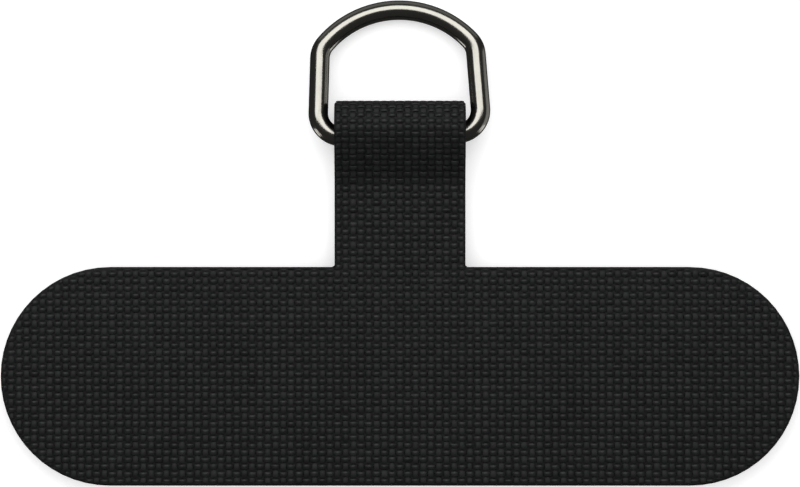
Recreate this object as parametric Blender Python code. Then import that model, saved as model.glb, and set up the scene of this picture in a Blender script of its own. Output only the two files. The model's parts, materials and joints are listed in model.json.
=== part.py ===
# Phone tether pad with a D-ring. A T-shaped piece of woven cloth, two bonded plies
# thick, lies on its back. Its tab is folded over the bar of a soldered wire D-ring.
# Metres. +X runs along the pad, +Y from the pad towards the ring, +Z out of the front.
# The origin is under the centre of the whole part, on the surface that it lies on.

import math

import bmesh
import bpy
from mathutils import Matrix, Vector

# Cloth
PLY = 0.0010  # one ply of the cloth
PAD_LENGTH = 0.0610
PAD_WIDTH = 0.0167  # also the diameter of the pad's round ends
TAB_WIDTH = 0.0100
TAB_REACH = 0.0127  # from the pad's long edge to the outside of the fold
SLOPE_LENGTH = 0.0040  # from the bar to where the two plies meet

# Ring
WIRE_DIAMETER = 0.0015
RING_DEPTH = 0.0082  # inside, from the bar to the top of the crown
RING_SIDE_GAP = 0.00054  # between the foot of each leg and the tab's edge
LEG_LEAN = math.radians(3.0)  # how far each leg leans in
CORNER_RADIUS = 0.0018  # of the wire's centreline, between the bar and a leg
SHOULDER_RADIUS = 0.00175  # of the wire's centreline, between a leg and the crown
CROWN_RADIUS = 0.0074  # of the wire's centreline
RING_TURN = math.radians(1.5)  # how far the ring lies turned in its fold, seen from above

# The fold round the bar
FLOOR_GAP = 0.00043  # under the bar
ROOF_GAP = 0.00085  # from the bar's top up to the crest's inside, so the slope clears it too
NOSE_GAP = 0.00088  # between the bar and the end of the hollow
NOSE_INSIDE = 0.00098  # from the crest to the end of the hollow

# Smoothness
END_STEPS = 12  # a quarter of a round end
FOLD_STEPS = 8  # a quarter of the fold
CROWN_STEPS = 20
CORNER_STEPS = 8
WIRE_BEVEL_STEPS = 4  # a twelve-sided wire
WELD_DISTANCE = 0.00001
OVERSHOOT = 0.0010  # how far the trimming shapes reach past each other
CREST_EASE = 0.32  # share of the slope that starts level
FOOT_EASE = 0.27  # share of the slope that ends level
HOLLOW_SHORT = 0.8  # how many plies the hollow ends before the slope does
HOLLOW_LIFT = 0.15  # in plies, how much the hollow's roof rises where the slope levels out

QUARTER_HANDLE = 4 / 3 * math.tan(math.pi / 8)  # makes a Bezier piece a quarter circle

# Sizes that follow
wire_radius = WIRE_DIAMETER / 2
pad_thickness = 2 * PLY
bar_height = PLY + FLOOR_GAP + wire_radius
crest_height = bar_height + wire_radius + ROOF_GAP + PLY
crown_reach = RING_DEPTH + WIRE_DIAMETER  # from the bar's centreline to the crown's
leg_foot = TAB_WIDTH / 2 + RING_SIDE_GAP + wire_radius
ring_droop = math.asin((bar_height - wire_radius) / crown_reach)  # the crown rests
crown_centre = crown_reach - CROWN_RADIUS


def height_of_crown_top():
    """How far the crown reaches past the bar along Y, to the outside of the wire."""
    across = math.cos(ring_droop) * math.cos(RING_TURN)
    stretch = math.hypot(math.sin(RING_TURN), across)
    return crown_centre * across + CROWN_RADIUS * stretch + wire_radius


# Places along Y, with the whole part centred on the origin
fold_to_bar = wire_radius + NOSE_GAP + PLY
bar_past_pad = TAB_REACH - fold_to_bar
whole_length = PAD_WIDTH + bar_past_pad + height_of_crown_top()
pad_bottom = -whole_length / 2
pad_top = pad_bottom + PAD_WIDTH
bar_place = pad_top + bar_past_pad
fold_end = pad_top + TAB_REACH
crest_place = fold_end - PLY - NOSE_INSIDE
slope_end = bar_place - SLOPE_LENGTH


def clear_scene():
    for old in list(bpy.data.objects):
        bpy.data.objects.remove(old, do_unlink=True)


def new_collection(name):
    made = bpy.data.collections.new(name)
    bpy.context.scene.collection.children.link(made)
    return made


def finish(name, color, roughness, metallic):
    made = bpy.data.materials.new(name)
    made.use_nodes = True
    shader = made.node_tree.nodes["Principled BSDF"]
    shader.inputs["Base Color"].default_value = (*color, 1.0)
    shader.inputs["Roughness"].default_value = roughness
    shader.inputs["Metallic"].default_value = metallic
    return made


def add_bezier(curve, points):
    """Adds a closed Bezier outline. Each point is (place, handle before, handle after)."""
    spline = curve.splines.new("BEZIER")
    spline.bezier_points.add(len(points) - 1)
    spline.use_cyclic_u = True
    for made, (place, before, after) in zip(spline.bezier_points, points):
        made.handle_left_type = "FREE"
        made.handle_right_type = "FREE"
        made.co = (*place, 0)
        made.handle_left = (*before, 0)
        made.handle_right = (*after, 0)


def knot(place, before=(0, 0), after=(0, 0)):
    """A Bezier point whose handles are given as steps away from it."""
    here = Vector(place)
    return here, here + Vector(before), here + Vector(after)


def extruded_outline(name, outlines, thickness, steps, matrix, collection):
    """A closed mesh from flat outlines, the ones inside another being holes."""
    curve = bpy.data.curves.new(name, "CURVE")
    curve.dimensions = "2D"
    curve.fill_mode = "BOTH"
    curve.extrude = thickness / 2
    curve.resolution_u = steps
    for outline in outlines:
        add_bezier(curve, outline)
    flat = bpy.data.objects.new(name + "_outline", curve)
    collection.objects.link(flat)
    flat.matrix_world = matrix
    bpy.context.view_layer.update()
    evaluated = flat.evaluated_get(bpy.context.evaluated_depsgraph_get())
    mesh = bpy.data.meshes.new_from_object(evaluated)
    mesh.name = name
    welded = bmesh.new()
    welded.from_mesh(mesh)
    bmesh.ops.remove_doubles(welded, verts=welded.verts, dist=WELD_DISTANCE)
    bmesh.ops.recalc_face_normals(welded, faces=welded.faces)
    welded.to_mesh(mesh)
    welded.free()
    solid = bpy.data.objects.new(name, mesh)
    collection.objects.link(solid)
    solid.matrix_world = flat.matrix_world
    bpy.data.objects.remove(flat, do_unlink=True)
    return solid


def plan_outline():
    """The T seen from above: a long bar with round ends, and the tab running past its fold."""
    end_radius = PAD_WIDTH / 2
    middle = pad_bottom + end_radius
    straight = PAD_LENGTH / 2 - end_radius
    reach = end_radius * QUARTER_HANDLE
    half_tab = TAB_WIDTH / 2
    past_fold = fold_end + OVERSHOOT
    return [
        knot((-straight, pad_bottom), before=(-reach, 0)),
        knot((straight, pad_bottom), after=(reach, 0)),
        knot((straight + end_radius, middle), before=(0, -reach), after=(0, reach)),
        knot((straight, pad_top), before=(reach, 0)),
        knot((half_tab, pad_top)),
        knot((half_tab, past_fold)),
        knot((-half_tab, past_fold)),
        knot((-half_tab, pad_top)),
        knot((-straight, pad_top), after=(-reach, 0)),
        knot((-straight - end_radius, middle), before=(0, reach), after=(0, -reach)),
    ]


def fold_outline(ply, back, foot, lift=0):
    """Knots of the fold, ply inside its outer face, from its floor round the nose to its foot."""
    slope = crest_place - back
    middle = crest_height / 2
    end = fold_end - ply
    top = crest_height - ply
    rise = (middle - ply) * QUARTER_HANDLE
    run = (end - crest_place) * QUARTER_HANDLE
    return [
        knot((crest_place, ply), after=(run, 0)),
        knot((end, middle), before=(0, -rise), after=(0, rise)),
        knot((crest_place, top), before=(run, 0), after=(-CREST_EASE * slope, 0)),
        knot((back, foot), before=(FOOT_EASE * slope, lift)),
    ]


def side_outlines():
    """The cloth seen along X, as (Y, Z): the outside, and the hollow for the bar."""
    before_pad = pad_bottom - OVERSHOOT
    outside = fold_outline(0, slope_end, pad_thickness)
    outside += [knot((before_pad, pad_thickness)), knot((before_pad, 0))]
    hollow = fold_outline(PLY, slope_end + HOLLOW_SHORT * PLY, PLY, HOLLOW_LIFT * PLY)
    return [outside, hollow]


def make_cloth(parts, cutters):
    """The pad and the folded tab, one piece of cloth: its side view trimmed to its plan."""
    # The side view's own X, Y and Z lie along the part's Y, Z and X.
    side_view = Matrix(((0, 0, 1, 0), (1, 0, 0, 0), (0, 1, 0, 0), (0, 0, 0, 1)))
    cloth = extruded_outline(
        "woven_pad", side_outlines(), PAD_LENGTH + OVERSHOOT, FOLD_STEPS, side_view, parts
    )
    plan_view = Matrix.Translation((0, 0, bar_height))
    trim = extruded_outline(
        "pad_plan", [plan_outline()], 2 * (bar_height + OVERSHOOT), END_STEPS, plan_view, cutters
    )
    trim.hide_render = True
    trim.display_type = "WIRE"
    trimmed = cloth.modifiers.new("trimmed_to_plan", "BOOLEAN")
    trimmed.operation = "INTERSECT"
    trimmed.solver = "EXACT"
    trimmed.object = trim
    cloth.data.materials.append(finish("coated_black_weave", (0.02, 0.021, 0.022), 0.6, 0.0))
    return cloth


def arc(centre, radius, start, end, steps):
    """Points of an arc, both ends included, with angles measured from +X."""
    turns = [start + (end - start) * i / steps for i in range(steps + 1)]
    return [
        Vector((centre[0] + radius * math.cos(a), centre[1] + radius * math.sin(a)))
        for a in turns
    ]


def right_half_of_ring():
    """The wire's centreline from the bar's right end, up the leg, to the top of the crown."""
    lean_in = Vector((-math.sin(LEG_LEAN), math.cos(LEG_LEAN)))
    inward = Vector((-math.cos(LEG_LEAN), -math.sin(LEG_LEAN)))
    foot = Vector((leg_foot, 0))
    # A corner's centre is one radius above the bar and one inside the leg.
    base = foot + inward * CORNER_RADIUS
    corner = base + lean_in * ((CORNER_RADIUS - base.y) / lean_in.y)
    # A shoulder's centre is one radius inside the leg and one inside the crown.
    base = foot + inward * SHOULDER_RADIUS - Vector((0, crown_centre))
    along = base.dot(lean_in)
    room = (CROWN_RADIUS - SHOULDER_RADIUS) ** 2 - base.length_squared
    shoulder = base + lean_in * (math.sqrt(along**2 + room) - along)
    crown_start = math.atan2(shoulder.y, shoulder.x)
    shoulder = shoulder + Vector((0, crown_centre))
    points = arc(corner, CORNER_RADIUS, -math.pi / 2, LEG_LEAN, CORNER_STEPS)
    points += arc(shoulder, SHOULDER_RADIUS, LEG_LEAN, crown_start, CORNER_STEPS)
    top = arc((0, crown_centre), CROWN_RADIUS, crown_start, math.pi / 2, CROWN_STEPS)
    return points + top[1:]


def make_ring(parts):
    """A closed D of round wire. Its origin is on the bar, which it turns about."""
    half = right_half_of_ring()
    mirrored = [Vector((-p.x, p.y)) for p in reversed(half[:-1])]
    centreline = half + mirrored
    curve = bpy.data.curves.new("d_ring", "CURVE")
    curve.dimensions = "3D"
    curve.bevel_depth = wire_radius
    curve.bevel_resolution = WIRE_BEVEL_STEPS
    spline = curve.splines.new("POLY")
    spline.points.add(len(centreline) - 1)
    spline.use_cyclic_u = True
    for point, place in zip(spline.points, centreline):
        point.co = (place.x, place.y, 0, 1)
    ring = bpy.data.objects.new("d_ring", curve)
    parts.objects.link(ring)
    ring.location = (0, bar_place, bar_height)
    ring.rotation_euler = (-ring_droop, 0, RING_TURN)
    curve.materials.append(finish("polished_nickel", (0.66, 0.65, 0.61), 0.22, 1.0))
    return ring


def main():
    clear_scene()
    parts = new_collection("phone_tether_pad")
    cutters = new_collection("joined_shapes")
    make_cloth(parts, cutters)
    make_ring(parts)


main()
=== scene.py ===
import json
import math

import bmesh
import bpy
import numpy as np
from mathutils import Euler, Matrix, Vector


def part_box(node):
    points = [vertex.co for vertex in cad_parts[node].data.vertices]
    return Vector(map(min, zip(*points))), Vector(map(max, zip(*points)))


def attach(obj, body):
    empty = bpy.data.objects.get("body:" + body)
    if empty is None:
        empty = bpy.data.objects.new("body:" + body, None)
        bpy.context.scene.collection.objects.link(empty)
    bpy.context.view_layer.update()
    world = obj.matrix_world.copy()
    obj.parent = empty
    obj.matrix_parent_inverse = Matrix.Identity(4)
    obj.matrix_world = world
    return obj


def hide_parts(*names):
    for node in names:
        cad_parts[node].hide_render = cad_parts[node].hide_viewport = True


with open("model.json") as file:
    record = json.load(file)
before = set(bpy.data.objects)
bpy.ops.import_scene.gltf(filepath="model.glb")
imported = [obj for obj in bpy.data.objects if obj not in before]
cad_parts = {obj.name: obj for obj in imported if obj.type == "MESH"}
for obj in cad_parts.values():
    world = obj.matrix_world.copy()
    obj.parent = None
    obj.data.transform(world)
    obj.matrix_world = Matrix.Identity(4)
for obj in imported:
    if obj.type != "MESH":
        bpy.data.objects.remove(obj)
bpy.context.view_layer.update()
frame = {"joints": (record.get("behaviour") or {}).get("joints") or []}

# Phone tether pad: a T of coated black weave, folded over the bar of a small nickel D-ring.
# Metres, in the frame's own axes. Everything is generated here, no images.

mm = 0.001
clothLow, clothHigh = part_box("woven_pad")
print("frame loaded, cloth is", [round(v / mm, 2) for v in clothHigh - clothLow], "mm")


# A socket that can be written in sums, so masks read like plain arithmetic.
class Sock:
    def __init__(self, tree, socket):
        self.tree = tree
        self.socket = socket

    def sum(self, operation, first, second):
        node = self.tree.nodes.new("ShaderNodeMath")
        node.operation = operation
        for place, value in enumerate((first, second)):
            plug(self.tree, node.inputs[place], value)
        return Sock(self.tree, node.outputs[0])

    def __add__(self, other):
        return self.sum("ADD", self, other)

    def __sub__(self, other):
        return self.sum("SUBTRACT", self, other)

    def __rsub__(self, other):
        return self.sum("SUBTRACT", other, self)

    def __mul__(self, other):
        return self.sum("MULTIPLY", self, other)

    __radd__ = __add__
    __rmul__ = __mul__


def plug(tree, socket, value):
    if isinstance(value, Sock):
        tree.links.new(value.socket, socket)
    elif hasattr(value, "__len__") and len(value) == 3 and socket.type == "RGBA":
        socket.default_value = (*value, 1.0)
    else:
        socket.default_value = value


# One material: its tree, its shader, and the one way in for any other node.
class Finish:
    def __init__(self, name, **uniform):
        self.material = bpy.data.materials.new(name)
        self.material.use_nodes = True
        self.tree = self.material.node_tree
        self.shader = self.tree.nodes["Principled BSDF"]
        self.feed(**{key.replace("_", " "): value for key, value in uniform.items()})

    def feed(self, **sockets):
        for name, value in sockets.items():
            plug(self.tree, self.shader.inputs[name], value)

    def node(self, kind, settings=None, values=None, output=0):
        made = self.tree.nodes.new("ShaderNode" + kind)
        for name, value in (settings or {}).items():
            setattr(made, name, value)
        for name, value in (values or {}).items():
            plug(self.tree, made.inputs[name], value)
        return Sock(self.tree, made.outputs[output])

    # noise whose grain is so many metres long in each axis, between 0 and 1
    def grain(self, lengths, detail=2.0, source=None):
        where = source or self.node("TexCoord", output="Object")
        scaled = self.node(
            "VectorMath",
            {"operation": "MULTIPLY"},
            {0: where, 1: tuple(1 / length for length in lengths)},
        )
        return self.node("TexNoise", values={"Vector": scaled, "Scale": 1.0, "Detail": detail})

    # two colours, which are inputs 6 and 7 of a Mix node
    def mix(self, factor, first, second):
        return self.node(
            "Mix", {"data_type": "RGBA"}, {"Factor": factor, 6: first, 7: second}, output=2
        )

    def bump(self, height, distance):
        return self.node("Bump", values={"Height": height, "Distance": distance})


# The way the cloth lies: along the front, up over the bar, round the nose and back underneath.
fold = {
    "noseReach": 1.98 * mm,  # from the crest to the front of the nose
    "slopeRun": 4.65 * mm,  # from the crest back to where the plies meet
    "thickness": 2.00 * mm,  # both plies
    "crestEase": 0.32,  # shares of the slope that leave the crest and reach the foot level
    "footEase": 0.27,
    "steps": 400,
}


def foldPath():
    crest = Vector((clothHigh.y - fold["noseReach"], clothHigh.z))
    foot = Vector((crest.x - fold["slopeRun"], fold["thickness"]))
    run = Vector((fold["slopeRun"], 0))
    hold = [foot, foot + run * fold["footEase"], crest - run * fold["crestEase"], crest]
    points = [Vector((clothLow.y, fold["thickness"]))]
    for step in range(fold["steps"] + 1):
        t = step / fold["steps"]
        u = 1 - t
        points.append(
            hold[0] * u**3 + hold[1] * 3 * u * u * t + hold[2] * 3 * u * t * t + hold[3] * t**3
        )
    for step in range(1, fold["steps"] + 1):
        turn = math.pi * step / fold["steps"]
        across = fold["noseReach"] * math.sin(turn)
        up = clothHigh.z / 2 * (1 + math.cos(turn))
        points.append(Vector((crest.x + across, up)))
    points.append(Vector((clothLow.y, 0)))
    return np.array([tuple(p) for p in points])


path = foldPath()
pathSteps = np.linalg.norm(np.diff(path, axis=0), axis=1)
pathAlong = np.concatenate([[0], np.cumsum(pathSteps)])
clothLength = pathAlong[-1]
noseAlong = pathAlong[np.argmax(path[:, 0])]
pathHeadings = np.unwrap(np.arctan2(np.diff(path[:, 1]), np.diff(path[:, 0])))
pathMiddles = (pathAlong[1:] + pathAlong[:-1]) / 2


# A point of the flat cloth, x across and s along it, laid on the folded shape. Lift is outward.
def onCloth(x, s, lift):
    heading = np.interp(s, pathMiddles, pathHeadings)
    y = np.interp(s, pathAlong, path[:, 0]) - np.sin(heading) * lift
    z = np.interp(s, pathAlong, path[:, 1]) + np.cos(heading) * lift
    return np.stack([x, y, z], axis=-1)


# The flat cloth is an H: a stadium at each end and the tab between them.
cut = {
    "padWidth": 16.7 * mm,
    "tabWidth": 10.0 * mm,
    "faceLift": -0.15 * mm,  # the coated ground between the yarns
    "innerLift": -0.99 * mm,  # leaves a hairline between the two plies
    "faceRound": 0.14 * mm,  # the sealed edge, at the face and where the plies meet
    "innerRound": 0.07 * mm,
    "roundSteps": 4,
    "endSteps": 28,  # half of a round end
    "flatGrid": 1.0 * mm,
    "curvedGrid": 0.18 * mm,
    "sharpAngle": math.radians(40),
}
padHalf = clothHigh.x
endRadius = cut["padWidth"] / 2
straightHalf = padHalf - endRadius
tabHalf = cut["tabWidth"] / 2


# The whole outline, or one that lies so far inside it.
def outlineOfH(inset):
    points = []
    radius = endRadius - inset
    for step in range(cut["endSteps"] + 1):
        turn = math.pi * (step / cut["endSteps"] - 0.5)
        points.append(
            (straightHalf + radius * math.cos(turn), endRadius + radius * math.sin(turn))
        )
    points.append((tabHalf - inset, cut["padWidth"] - inset))
    side = points + [(x, clothLength - s) for x, s in reversed(points)]
    return side + [(-x, s) for x, s in reversed(side)]


def meshObject(name, mesh, finish):
    mesh.materials.append(finish.material)
    made = bpy.data.objects.new(name, mesh)
    bpy.context.scene.collection.objects.link(made)
    return made


# Inset and lift of each ring from the outer face, round the sealed edge, to the inner face.
def edgeRings():
    steps = cut["roundSteps"]
    angles = [math.pi / 2 * step / steps for step in range(steps + 1)]
    outer, inner = cut["faceRound"], cut["innerRound"]
    rings = [
        (outer * (1 - math.sin(a)), cut["faceLift"] - outer * (1 - math.cos(a))) for a in angles
    ]
    rings += [
        (inner * (1 - math.sin(a)), cut["innerLift"] + inner * (1 - math.cos(a)))
        for a in reversed(angles)
    ]
    return rings


# Cut flat with a sealed edge, sliced where it has to bend, then folded.
def makeGround(finish):
    ground = bmesh.new()
    rings = [
        [ground.verts.new((x, s, lift)) for x, s in outlineOfH(inset)]
        for inset, lift in edgeRings()
    ]
    for upper, lower in zip(rings, rings[1:]):
        for here in range(len(upper)):
            there = (here + 1) % len(upper)
            ground.faces.new((upper[here], lower[here], lower[there], upper[there]))
    ground.faces.new(rings[0])
    ground.faces.new(rings[-1][::-1])
    bmesh.ops.recalc_face_normals(ground, faces=ground.faces)
    bendStart = pathAlong[1] - cut["flatGrid"]
    bendEnd = pathAlong[-2] + cut["flatGrid"]
    slices = list(np.arange(bendStart, bendEnd, cut["curvedGrid"]))
    slices += list(np.arange(cut["flatGrid"], bendStart, cut["flatGrid"]))
    slices += list(np.arange(bendEnd, clothLength, cut["flatGrid"]))
    for inset in (cut["faceRound"], cut["innerRound"]):
        corner = cut["padWidth"] - inset  # so that no face is left with an inner corner
        slices += [corner, clothLength - corner]
    for place in slices:
        everything = ground.verts[:] + ground.edges[:] + ground.faces[:]
        bmesh.ops.bisect_plane(
            ground, geom=everything, dist=1e-6, plane_co=(0, place, 0), plane_no=(0, 1, 0)
        )
    flat = np.array([v.co for v in ground.verts])
    folded = onCloth(flat[:, 0], flat[:, 1], flat[:, 2])
    for vert, place in zip(ground.verts, folded):
        vert.co = place
    bmesh.ops.triangulate(ground, faces=[f for f in ground.faces if len(f.verts) > 4])
    bmesh.ops.recalc_face_normals(ground, faces=ground.faces)
    mesh = bpy.data.meshes.new("coated_ground")
    ground.to_mesh(mesh)
    ground.free()
    mesh.shade_smooth()
    mesh.set_sharp_from_angle(angle=cut["sharpAngle"])
    return meshObject("coated_ground", mesh, finish)


# Plain weave of flattened filament yarns, one piece for each direction and region.
weave = {
    "pitchX": 0.594 * mm,  # from one warp yarn to the next
    "pitchS": 0.545 * mm,  # from one weft yarn to the next
    "margin": 0.12 * mm,  # the fused rim outside the yarns
    "rimFade": 0.34 * mm,  # how far in from the rim the yarns are pressed down
    "rimPress": 0.07 * mm,
    "wander": 0.020 * mm,  # sideways, along a yarn
    "wanderWave": 7 * mm,
    "wanderRandom": 0.5,
    "anyTurn": 6.3,  # radians, where a yarn's wave may start
    "unevenWidth": 0.05,
    "twoRolls": 1.4,  # spread of two added random draws
    "unevenCrest": 0.16,
    "noseCalm": 0.85,  # how much of the relief the fold presses out
    "noseCalmLength": 0.9 * mm,
    "crossingTone": 0.18,  # spread of the tone from crossing to crossing
    "yarnTone": 0.12,  # and from yarn to yarn
    "gapPaintedShade": 0.10,  # painted shade: the share of a yarn's tone left where it dips under the next
    "endSlack": 0.35,  # of a step, that a yarn may run past its last mark
    "seed": 11,
}
warp = {
    "width": 0.48 * mm,
    "thick": 0.16 * mm,
    "swing": 0.085 * mm,  # half of the way from under to over
    "top": -0.035 * mm,  # lift of its crests
    "flat": 1.0,  # below 1 the crests are flatter
    "roughLow": 0.50,
    "roughHigh": 0.70,
}
weft = {
    "width": 0.43 * mm,
    "thick": 0.24 * mm,
    "swing": 0.110 * mm,
    "top": 0.0,
    "flat": 0.80,
    "roughLow": 0.30,
    "roughHigh": 0.46,
}
sections = {  # degrees round a yarn, with most of them on the side that shows
    "round": (0, 32, 62, 90, 118, 148, 180, 270),
    "fine": (0, 38, 90, 142, 180, 270),
    "coarse": (0, 55, 125, 180, 270),
}
dice = np.random.default_rng(weave["seed"])


# Distance from the nearer end of the flat cloth, since both halves are alike.
def fromEnd(s):
    return np.minimum(s, clothLength - s)


# How far a point of the flat cloth is inside its cut edge, about.
def insideBy(x, s):
    d = fromEnd(s)
    side = np.abs(x)
    beyond = np.maximum(side - straightHalf, 0)
    pad = endRadius - np.hypot(beyond, d - endRadius)
    tab = np.where(d > endRadius, tabHalf - side, -1.0)
    return np.maximum(pad, tab)


# Moves a point that would stick out of the cut edge back to it.
def keepInside(x, s, margin):
    d = fromEnd(s)
    side = np.abs(x)
    radius = endRadius - margin
    beyond = np.maximum(side - straightHalf, 0)
    away = np.hypot(beyond, d - endRadius)
    shrink = np.where(away > radius, radius / np.maximum(away, 1e-9), 1.0)
    padSide = np.minimum(side, straightHalf) + beyond * shrink
    padD = endRadius + (d - endRadius) * shrink
    tabSide = np.minimum(side, tabHalf - margin)
    inTab = (d > endRadius) & ((side - tabSide) < np.hypot(side - padSide, d - padD))
    newSide = np.where(inTab, tabSide, padSide)
    newD = np.where(inTab, d, padD)
    return np.copysign(newSide, x), s + np.where(s < clothLength / 2, 1, -1) * (newD - d)


# Rows of points along yarns, closed into tubes.
class Yarns:
    def __init__(self, kind, pitch, detail):
        self.kind = kind
        self.pitch = pitch
        self.turns = np.radians(sections[detail])
        self.perCrossing = 3 if detail == "coarse" else 4
        self.places = []
        self.tonesAndGapShade = []
        self.rings = []

    # line is the yarn's number, across its place, low and high its ends, all in the flat cloth
    def add(self, line, across, low, high, phase, alongX):
        kind = self.kind
        step = self.pitch / self.perCrossing
        first = math.ceil((low - phase) / step - weave["endSlack"])
        last = math.floor((high - phase) / step + weave["endSlack"])
        if last - first < 2:
            return
        marks = np.arange(first, last + 1)
        along = np.clip(phase + marks * step, low, high)
        crossing = np.round(marks / self.perCrossing).astype(int)
        wave = np.cos(math.pi * marks / self.perCrossing)
        crest = np.sign(wave) * np.abs(wave) ** kind["flat"]
        sign = 1 if (line % 2 == 0) == alongX else -1
        roll = dice.normal(0, 1, (4, crossing[-1] - crossing[0] + 1))
        pick = crossing - crossing[0]
        height = kind["swing"] * crest * sign * (1 + weave["unevenCrest"] * roll[0][pick])
        where = np.full(len(along), across) if alongX else along
        fromNose = (where - noseAlong) / weave["noseCalmLength"]
        calm = 1 - weave["noseCalm"] * np.exp(-(fromNose**2))
        middle = kind["top"] - kind["thick"] / 2 - kind["swing"] * calm
        centre = middle + np.minimum(height, kind["swing"]) * calm
        uneven = weave["unevenWidth"] * (roll[1][pick] + dice.normal()) / weave["twoRolls"]
        width = kind["width"] * (1 + uneven)
        drift = np.sin(along / weave["wanderWave"] + dice.uniform(0, weave["anyTurn"]))
        sway = weave["wander"] * (roll[2][pick] * weave["wanderRandom"] + drift)
        side = across + sway[:, None] + np.cos(self.turns) * width[:, None] / 2
        lift = centre[:, None] + np.sin(self.turns) * kind["thick"] / 2
        ahead = np.repeat(along[:, None], len(self.turns), axis=1)
        x, s = (ahead, side) if alongX else (side, ahead)
        x, s = keepInside(x, s, weave["margin"])
        edge = np.clip(insideBy(x, s) / weave["rimFade"], 0, 1)
        lift = lift - weave["rimPress"] * (1 - edge) ** 2
        self.places.append(onCloth(x, s, lift).reshape(-1, 3))
        toneAndGapShade = 0.5 + weave["crossingTone"] * roll[3][pick] + weave["yarnTone"] * dice.normal()
        # painted shade: each yarn's colour darkens towards where it dips under its neighbour, in
        # place of the shade in the gaps
        over = np.clip(wave * sign, 0, 1)
        toneAndGapShade = toneAndGapShade * (weave["gapPaintedShade"] + (1 - weave["gapPaintedShade"]) * over)
        self.tonesAndGapShade.append(np.repeat(toneAndGapShade, len(self.turns)))
        self.rings.append(len(along))

    def build(self, name, finish):
        places = np.concatenate(self.places)
        sides = len(self.turns)
        faces = []
        caps = []
        start = 0
        flip = self.inward(places)
        for count in self.rings:
            ring = start + np.arange(count - 1)[:, None] * sides
            near = ring + np.arange(sides)
            far = ring + (np.arange(sides) + 1) % sides
            faces.append(np.stack([near, far, far + sides, near + sides], axis=-1).reshape(-1, 4))
            caps.append(start + np.arange(sides)[::-1])
            caps.append(start + (count - 1) * sides + np.arange(sides))
            start += count * sides
        quads = np.concatenate(faces)
        ends = np.array(caps)
        if flip:
            quads = quads[:, ::-1]
            ends = ends[:, ::-1]
        mesh = bpy.data.meshes.new(name)
        mesh.vertices.add(len(places))
        mesh.vertices.foreach_set("co", places.astype(np.float32).ravel())
        corners = np.concatenate([quads.ravel(), ends.ravel()])
        mesh.loops.add(len(corners))
        mesh.loops.foreach_set("vertex_index", corners.astype(np.int32))
        starts = np.concatenate(
            [np.arange(len(quads)) * 4, len(quads) * 4 + np.arange(len(ends)) * sides]
        )
        mesh.polygons.add(len(starts))
        mesh.polygons.foreach_set("loop_start", starts.astype(np.int32))
        mesh.update(calc_edges=True)
        mesh.validate()
        # the tone attribute: random tone from crossing to crossing and yarn to yarn, with the
        # painted gap shade
        toneAndGapShade = mesh.attributes.new("toneAndGapShade", "FLOAT", "POINT")
        toneAndGapShade.data.foreach_set("value", np.concatenate(self.tonesAndGapShade).astype(np.float32))
        mesh.shade_smooth()
        return meshObject(name, mesh, finish)

    # the side faces point into the yarn if the section runs the wrong way round its line
    def inward(self, places):
        sides = len(self.turns)
        a, b, c = places[0], places[1], places[sides]
        middle = places[:sides].mean(axis=0)
        return np.dot(np.cross(b - a, c - a), a - middle) < 0


def halfChord(d):
    reach = endRadius - weave["margin"]
    return math.sqrt(max(reach**2 - (d - endRadius) ** 2, 0))


# Where the warp runs at x: the whole length through the tab, or one pad at a time.
def warpRuns(x):
    margin = weave["margin"]
    if abs(x) < tabHalf - margin + warp["width"] / 4:
        return [("tab", margin, clothLength - margin)]
    beyond = max(abs(x) - straightHalf, 0)
    reach = math.sqrt(max((endRadius - margin) ** 2 - beyond**2, 0))
    low, high = endRadius - reach, endRadius + reach
    return [("front", low, high), ("back", clothLength - high, clothLength - low)]


def weftRun(s):
    d = float(fromEnd(s))
    margin = weave["margin"]
    if d < margin - weft["width"] / 4:
        return None
    region = "front" if s < clothLength / 2 else "back"
    if d < cut["padWidth"] - margin + weft["width"] / 4:
        reach = straightHalf + halfChord(d)
        return region, -reach, reach
    return "tab", -tabHalf + margin, tabHalf - margin


def makeWeave(warpFinish, weftFinish):
    regions = ("front", "tab", "back")
    warps = {}
    wefts = {}
    for region in regions:
        hidden = region == "back"
        warps[region] = Yarns(warp, weave["pitchS"], "coarse" if hidden else "fine")
        wefts[region] = Yarns(weft, weave["pitchX"], "coarse" if hidden else "round")
    columns = int(padHalf / weave["pitchX"]) + 1
    rowPhase = weave["margin"] + weft["width"] / 2
    for column in range(-columns, columns + 1):
        x = column * weave["pitchX"]
        if abs(x) > padHalf - weave["margin"]:
            continue
        for region, low, high in warpRuns(x):
            warps[region].add(column, x, low, high, rowPhase, False)
    for row in range(int(clothLength / weave["pitchS"]) + 1):
        s = rowPhase + row * weave["pitchS"]
        found = weftRun(s)
        if found:
            region, low, high = found
            wefts[region].add(row, s, low, high, 0.0, True)
    made = []
    for region in regions:
        made.append(warps[region].build(region + "_warp", warpFinish))
        made.append(wefts[region].build(region + "_weft", weftFinish))
    for piece in made:
        print("woven", piece.name, len(piece.data.polygons), "faces")
    return made


# Black filament yarn under a thin rubbery coat.
yarnLook = {
    "dark": (0.0045, 0.0049, 0.0053),
    "light": (0.0185, 0.0195, 0.0203),
    "across": 0.045 * mm,  # filament bundles
    "along": 1.1 * mm,
    "relief": 0.012 * mm,
    "blotch": 0.9 * mm,
    "toneAndGapShadeShare": 0.60,  # of the colour mix, from the tone attribute with its painted gap shade, and what the blotches and filaments add
    "blotchShare": 0.25,
    "filamentShare": 0.15,
}


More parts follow.
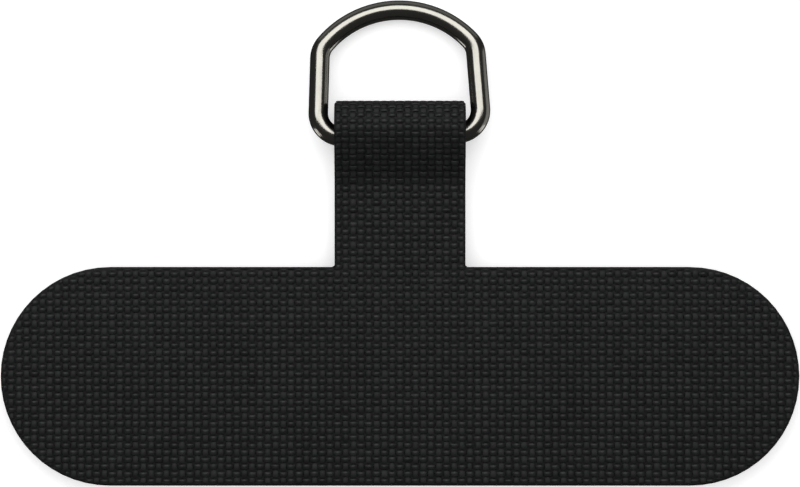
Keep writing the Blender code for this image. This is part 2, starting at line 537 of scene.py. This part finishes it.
def yarnFinish(name, alongX, kind):
    look = yarnLook
    finish = Finish(name, Specular_IOR_Level=0.5, IOR=1.5)
    across, along = look["across"], look["along"]
    lengths = (along, across, across) if alongX else (across, along, along)
    filaments = finish.grain(lengths, detail=3.0)
    blotches = finish.grain((look["blotch"],) * 3, detail=3.0)
    # the tone attribute carries random tone and the painted shade in the gaps between yarns
    toneAndGapShade = finish.node("Attribute", {"attribute_name": "toneAndGapShade"}, output="Fac")
    shade = toneAndGapShade * look["toneAndGapShadeShare"] + blotches * look["blotchShare"]
    shade = shade + filaments * look["filamentShare"]
    colour = finish.mix(shade, look["dark"], look["light"])
    rough = kind["roughLow"] + (kind["roughHigh"] - kind["roughLow"]) * (
        blotches * 0.5 + filaments * 0.5
    )
    normal = finish.bump(filaments, look["relief"])
    finish.feed(**{"Base Color": colour, "Roughness": rough, "Normal": normal})
    return finish


groundLook = {
    "dark": (0.004, 0.0042, 0.0045),
    "light": (0.009, 0.0092, 0.0095),
    "grain": 0.12 * mm,
    "drift": 2.5 * mm,
    "relief": 0.02 * mm,
    "rough": 0.5,
    "roughSpread": 0.2,
}


def groundFinish():
    look = groundLook
    finish = Finish("fused_black_coating", Specular_IOR_Level=0.4)
    pores = finish.grain((look["grain"],) * 3, detail=4.0)
    drift = finish.grain((look["drift"],) * 3)
    colour = finish.mix(drift, look["dark"], look["light"])
    rough = look["rough"] + look["roughSpread"] * pores
    normal = finish.bump(pores, look["relief"])
    finish.feed(**{"Base Color": colour, "Roughness": rough, "Normal": normal})
    return finish


ground = makeGround(groundFinish())
yarns = makeWeave(yarnFinish("warp_yarn", False, warp), yarnFinish("weft_yarn", True, weft))
for piece in [ground, *yarns]:
    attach(piece, "pad")
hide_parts("woven_pad")
tabLength = clothLength - 2 * cut["padWidth"]
padArea = 2 * straightHalf * cut["padWidth"] + math.pi * endRadius**2
float(2 * padArea + tabLength * cut["tabWidth"])
print("cloth laid, flat length", round(clothLength / mm, 2), "mm")


# The D-ring, one closed loop of round wire. It turns about its bar.
ring = {
    "wire": 1.5 * mm,
    "depth": 8.2 * mm,  # inside, from the bar to the top of the crown
    "legFoot": 6.29 * mm,  # from the middle to a leg's centreline, at the bar
    "legLean": math.radians(3.0),
    "corner": 1.8 * mm,
    "shoulder": 1.75 * mm,
    "crown": 7.4 * mm,
    "sides": 28,
    "pace": 0.14 * mm,  # along the wire, in its bends
    "seamSwell": 0.05,  # the soldered joint in the middle of the bar
    "seamLength": 0.35 * mm,
}


def arc(centre, radius, start, end):
    count = max(2, round(abs(end - start) * radius / ring["pace"]))
    turns = np.linspace(start, end, count + 1)
    return [(centre[0] + radius * math.cos(a), centre[1] + radius * math.sin(a)) for a in turns]


def ringLine():
    lean = ring["legLean"]
    crownReach = ring["depth"] + ring["wire"]
    crownCentre = crownReach - ring["crown"]
    leanIn = Vector((-math.sin(lean), math.cos(lean)))
    inward = Vector((-math.cos(lean), -math.sin(lean)))
    foot = Vector((ring["legFoot"], 0))
    base = foot + inward * ring["corner"]
    corner = base + leanIn * ((ring["corner"] - base.y) / leanIn.y)
    base = foot + inward * ring["shoulder"] - Vector((0, crownCentre))
    along = base.dot(leanIn)
    room = (ring["crown"] - ring["shoulder"]) ** 2 - base.length_squared
    shoulder = base + leanIn * (math.sqrt(along**2 + room) - along)
    crownStart = math.atan2(shoulder.y, shoulder.x)
    shoulder = shoulder + Vector((0, crownCentre))
    half = arc(corner, ring["corner"], -math.pi / 2, lean)
    half += arc(shoulder, ring["shoulder"], lean, crownStart)
    half += arc((0, crownCentre), ring["crown"], crownStart, math.pi / 2)[1:]
    barSteps = round(half[0][0] / ring["pace"])
    bar = [(half[0][0] * step / barSteps, half[0][1]) for step in range(barSteps)]
    right = bar + half
    left = [(-x, y) for x, y in reversed(right[1:-1])]
    return np.array(right + left)


def makeRing(finish):
    joint = frame["joints"][0]
    line = ringLine()
    count = len(line)
    ahead = np.roll(line, -1, axis=0) - np.roll(line, 1, axis=0)
    ahead /= np.linalg.norm(ahead, axis=1)[:, None]
    outward = np.stack([ahead[:, 1], -ahead[:, 0]], axis=1)
    gaps = np.linalg.norm(np.roll(line, -1, axis=0) - line, axis=1)
    along = np.concatenate([[0], np.cumsum(gaps)[:-1]])
    fromSeam = np.minimum(along, gaps.sum() - along)
    swell = ring["seamSwell"] * np.exp(-((fromSeam / ring["seamLength"]) ** 2))
    radius = ring["wire"] / 2 * (1 + swell)
    turns = 2 * math.pi * np.arange(ring["sides"]) / ring["sides"]
    out = np.cos(turns) * radius[:, None]
    up = np.sin(turns) * radius[:, None]
    flat = line[:, None, :] + outward[:, None, :] * out[:, :, None]
    places = np.concatenate([flat, up[:, :, None]], axis=2).reshape(-1, 3)
    faces = []
    for step in range(count):
        here = step * ring["sides"]
        there = (step + 1) % count * ring["sides"]
        for side in range(ring["sides"]):
            beside = (side + 1) % ring["sides"]
            faces.append((here + side, there + side, there + beside, here + beside))
    mesh = bpy.data.meshes.new("nickel_ring")
    mesh.from_pydata(places.tolist(), [], faces)
    # the wire as if pulled straight, which polish marks follow
    straight = np.stack([np.repeat(along, ring["sides"]), out.ravel(), up.ravel()], axis=1)
    pulled = mesh.attributes.new("pulledStraight", "FLOAT_VECTOR", "POINT")
    pulled.data.foreach_set("vector", straight.astype(np.float32).ravel())
    tidy = bmesh.new()
    tidy.from_mesh(mesh)
    bmesh.ops.recalc_face_normals(tidy, faces=tidy.faces)
    tidy.to_mesh(mesh)
    tidy.free()
    mesh.shade_smooth()
    barHeight = joint["pos_m"][2]
    droop = math.asin((barHeight - ring["wire"] / 2) / (ring["depth"] + ring["wire"]))
    turn = math.atan2(joint["axis"][1], joint["axis"][0])
    lie = Matrix.Translation(joint["pos_m"]) @ Euler((-droop, 0, turn)).to_matrix().to_4x4()
    mesh.transform(lie)
    return meshObject("nickel_ring", mesh, finish)


ringLook = {
    "colour": (0.655, 0.637, 0.575),
    "dull": (0.55, 0.53, 0.475),
    "rough": 0.13,
    "roughSpread": 0.10,
    "markAcross": 0.035 * mm,
    "markAlong": 1.6 * mm,
    "hazeAcross": 0.5 * mm,
    "hazeAlong": 1.4 * mm,
    "hazeShare": 0.6,  # of the spread in roughness
    "markShare": 0.4,
    "relief": 0.0006 * mm,
}


def ringFinish():
    look = ringLook
    finish = Finish("polished_nickel", Metallic=1.0)
    pulled = finish.node("Attribute", {"attribute_name": "pulledStraight"}, output="Vector")
    marks = finish.grain((look["markAlong"], look["markAcross"], look["markAcross"]), 3.0, pulled)
    haze = finish.grain((look["hazeAlong"], look["hazeAcross"], look["hazeAcross"]), 3.0, pulled)
    colour = finish.mix(haze, look["colour"], look["dull"])
    rough = look["rough"] + look["roughSpread"] * (
        haze * look["hazeShare"] + marks * look["markShare"]
    )
    normal = finish.bump(marks, look["relief"])
    finish.feed(**{"Base Color": colour, "Roughness": rough, "Normal": normal})
    return finish


wire = makeRing(ringFinish())
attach(wire, "ring")
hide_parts("d_ring")
print("ring bent,", len(wire.data.polygons), "faces")


# Floor, lights and camera: a product shot from straight above.
studio = {
    "floorSize": 2.4,
    "floorColour": (0.90, 0.90, 0.90),
    "fibreColour": (0.8865, 0.8865, 0.8865),
    "fibre": 0.6 * mm,
    "glow": 0.35,  # the paper lies on a light table
    "ambient": 0.86,  # pale room, seen by dull surfaces
    "gloom": 0.026,  # the same room as polished metal sees it
    "spanAcross": 61.04 * mm,  # what fills the width of the picture
    "lens": 200.0,
    "sensor": 36.0,
    "cameraY": -0.06 * mm,
}
lamps = {  # place, and size across and along it; each looks at the middle of the part
    "softbox": {"place": (-0.012, 0.100, 0.136), "size": (0.224, 0.123), "radiance": 1.40},
    "farCard": {"place": (0.0, 0.250, -0.050), "size": (0.50, 0.20), "radiance": 0.12},
    "sideCard": {"place": (0.250, -0.030, -0.050), "size": (0.26, 0.26), "radiance": 0.22},
    "leftCard": {"place": (-0.230, -0.140, -0.050), "size": (0.08, 0.20), "radiance": 1.00},
    "rightCard": {"place": (0.230, -0.130, -0.050), "size": (0.08, 0.20), "radiance": 0.50},
}


# An area lamp that gives off the same light all over, seen by everything but the camera.
def makeLamp(name, place, size, radiance):
    light = bpy.data.lights.new(name, "AREA")
    light.shape = "RECTANGLE"
    light.size, light.size_y = size
    light.energy = radiance * math.pi * size[0] * size[1]
    lamp = bpy.data.objects.new(name, light)
    lamp.location = place
    lamp.rotation_mode = "QUATERNION"
    lamp.rotation_quaternion = Vector(place).to_track_quat("Z", "Y")
    lamp.visible_camera = False
    bpy.context.scene.collection.objects.link(lamp)


def makeStudio():
    half = studio["floorSize"] / 2
    floorMesh = bpy.data.meshes.new("floor")
    corners = [(-half, -half, 0), (half, -half, 0), (half, half, 0), (-half, half, 0)]
    floorMesh.from_pydata(corners, [], [(0, 1, 2, 3)])
    paper = Finish(
        "pale_paper",
        Specular_IOR_Level=0.1,
        Roughness=0.9,
        Emission_Color=(1.0, 1.0, 1.0),
        Emission_Strength=studio["glow"],
    )
    fibre = paper.grain((studio["fibre"],) * 3, 3.0)
    paper.feed(**{"Base Color": paper.mix(fibre, studio["floorColour"], studio["fibreColour"])})
    floor = meshObject("floor", floorMesh, paper)
    floor.visible_glossy = False
    for name, lamp in lamps.items():
        makeLamp(name, **lamp)
    scene = bpy.context.scene
    world = bpy.data.worlds.new("room")
    world.use_nodes = True
    tree = world.node_tree
    background = tree.nodes["Background"]
    background.inputs["Color"].default_value = (1.0, 1.0, 1.0, 1.0)
    rays = Sock(tree, tree.nodes.new("ShaderNodeLightPath").outputs["Is Glossy Ray"])
    strength = studio["ambient"] - (studio["ambient"] - studio["gloom"]) * rays
    plug(tree, background.inputs["Strength"], strength)
    scene.world = world
    scene.view_settings.view_transform = "Standard"
    camera = bpy.data.cameras.new("camera")
    camera.lens = studio["lens"]
    camera.sensor_width = studio["sensor"]
    above = studio["spanAcross"] * studio["lens"] / studio["sensor"]
    eye = bpy.data.objects.new("camera", camera)
    eye.location = (0, studio["cameraY"], fold["thickness"] + above)
    scene.collection.objects.link(eye)
    scene.camera = eye


makeStudio()
print("studio set")
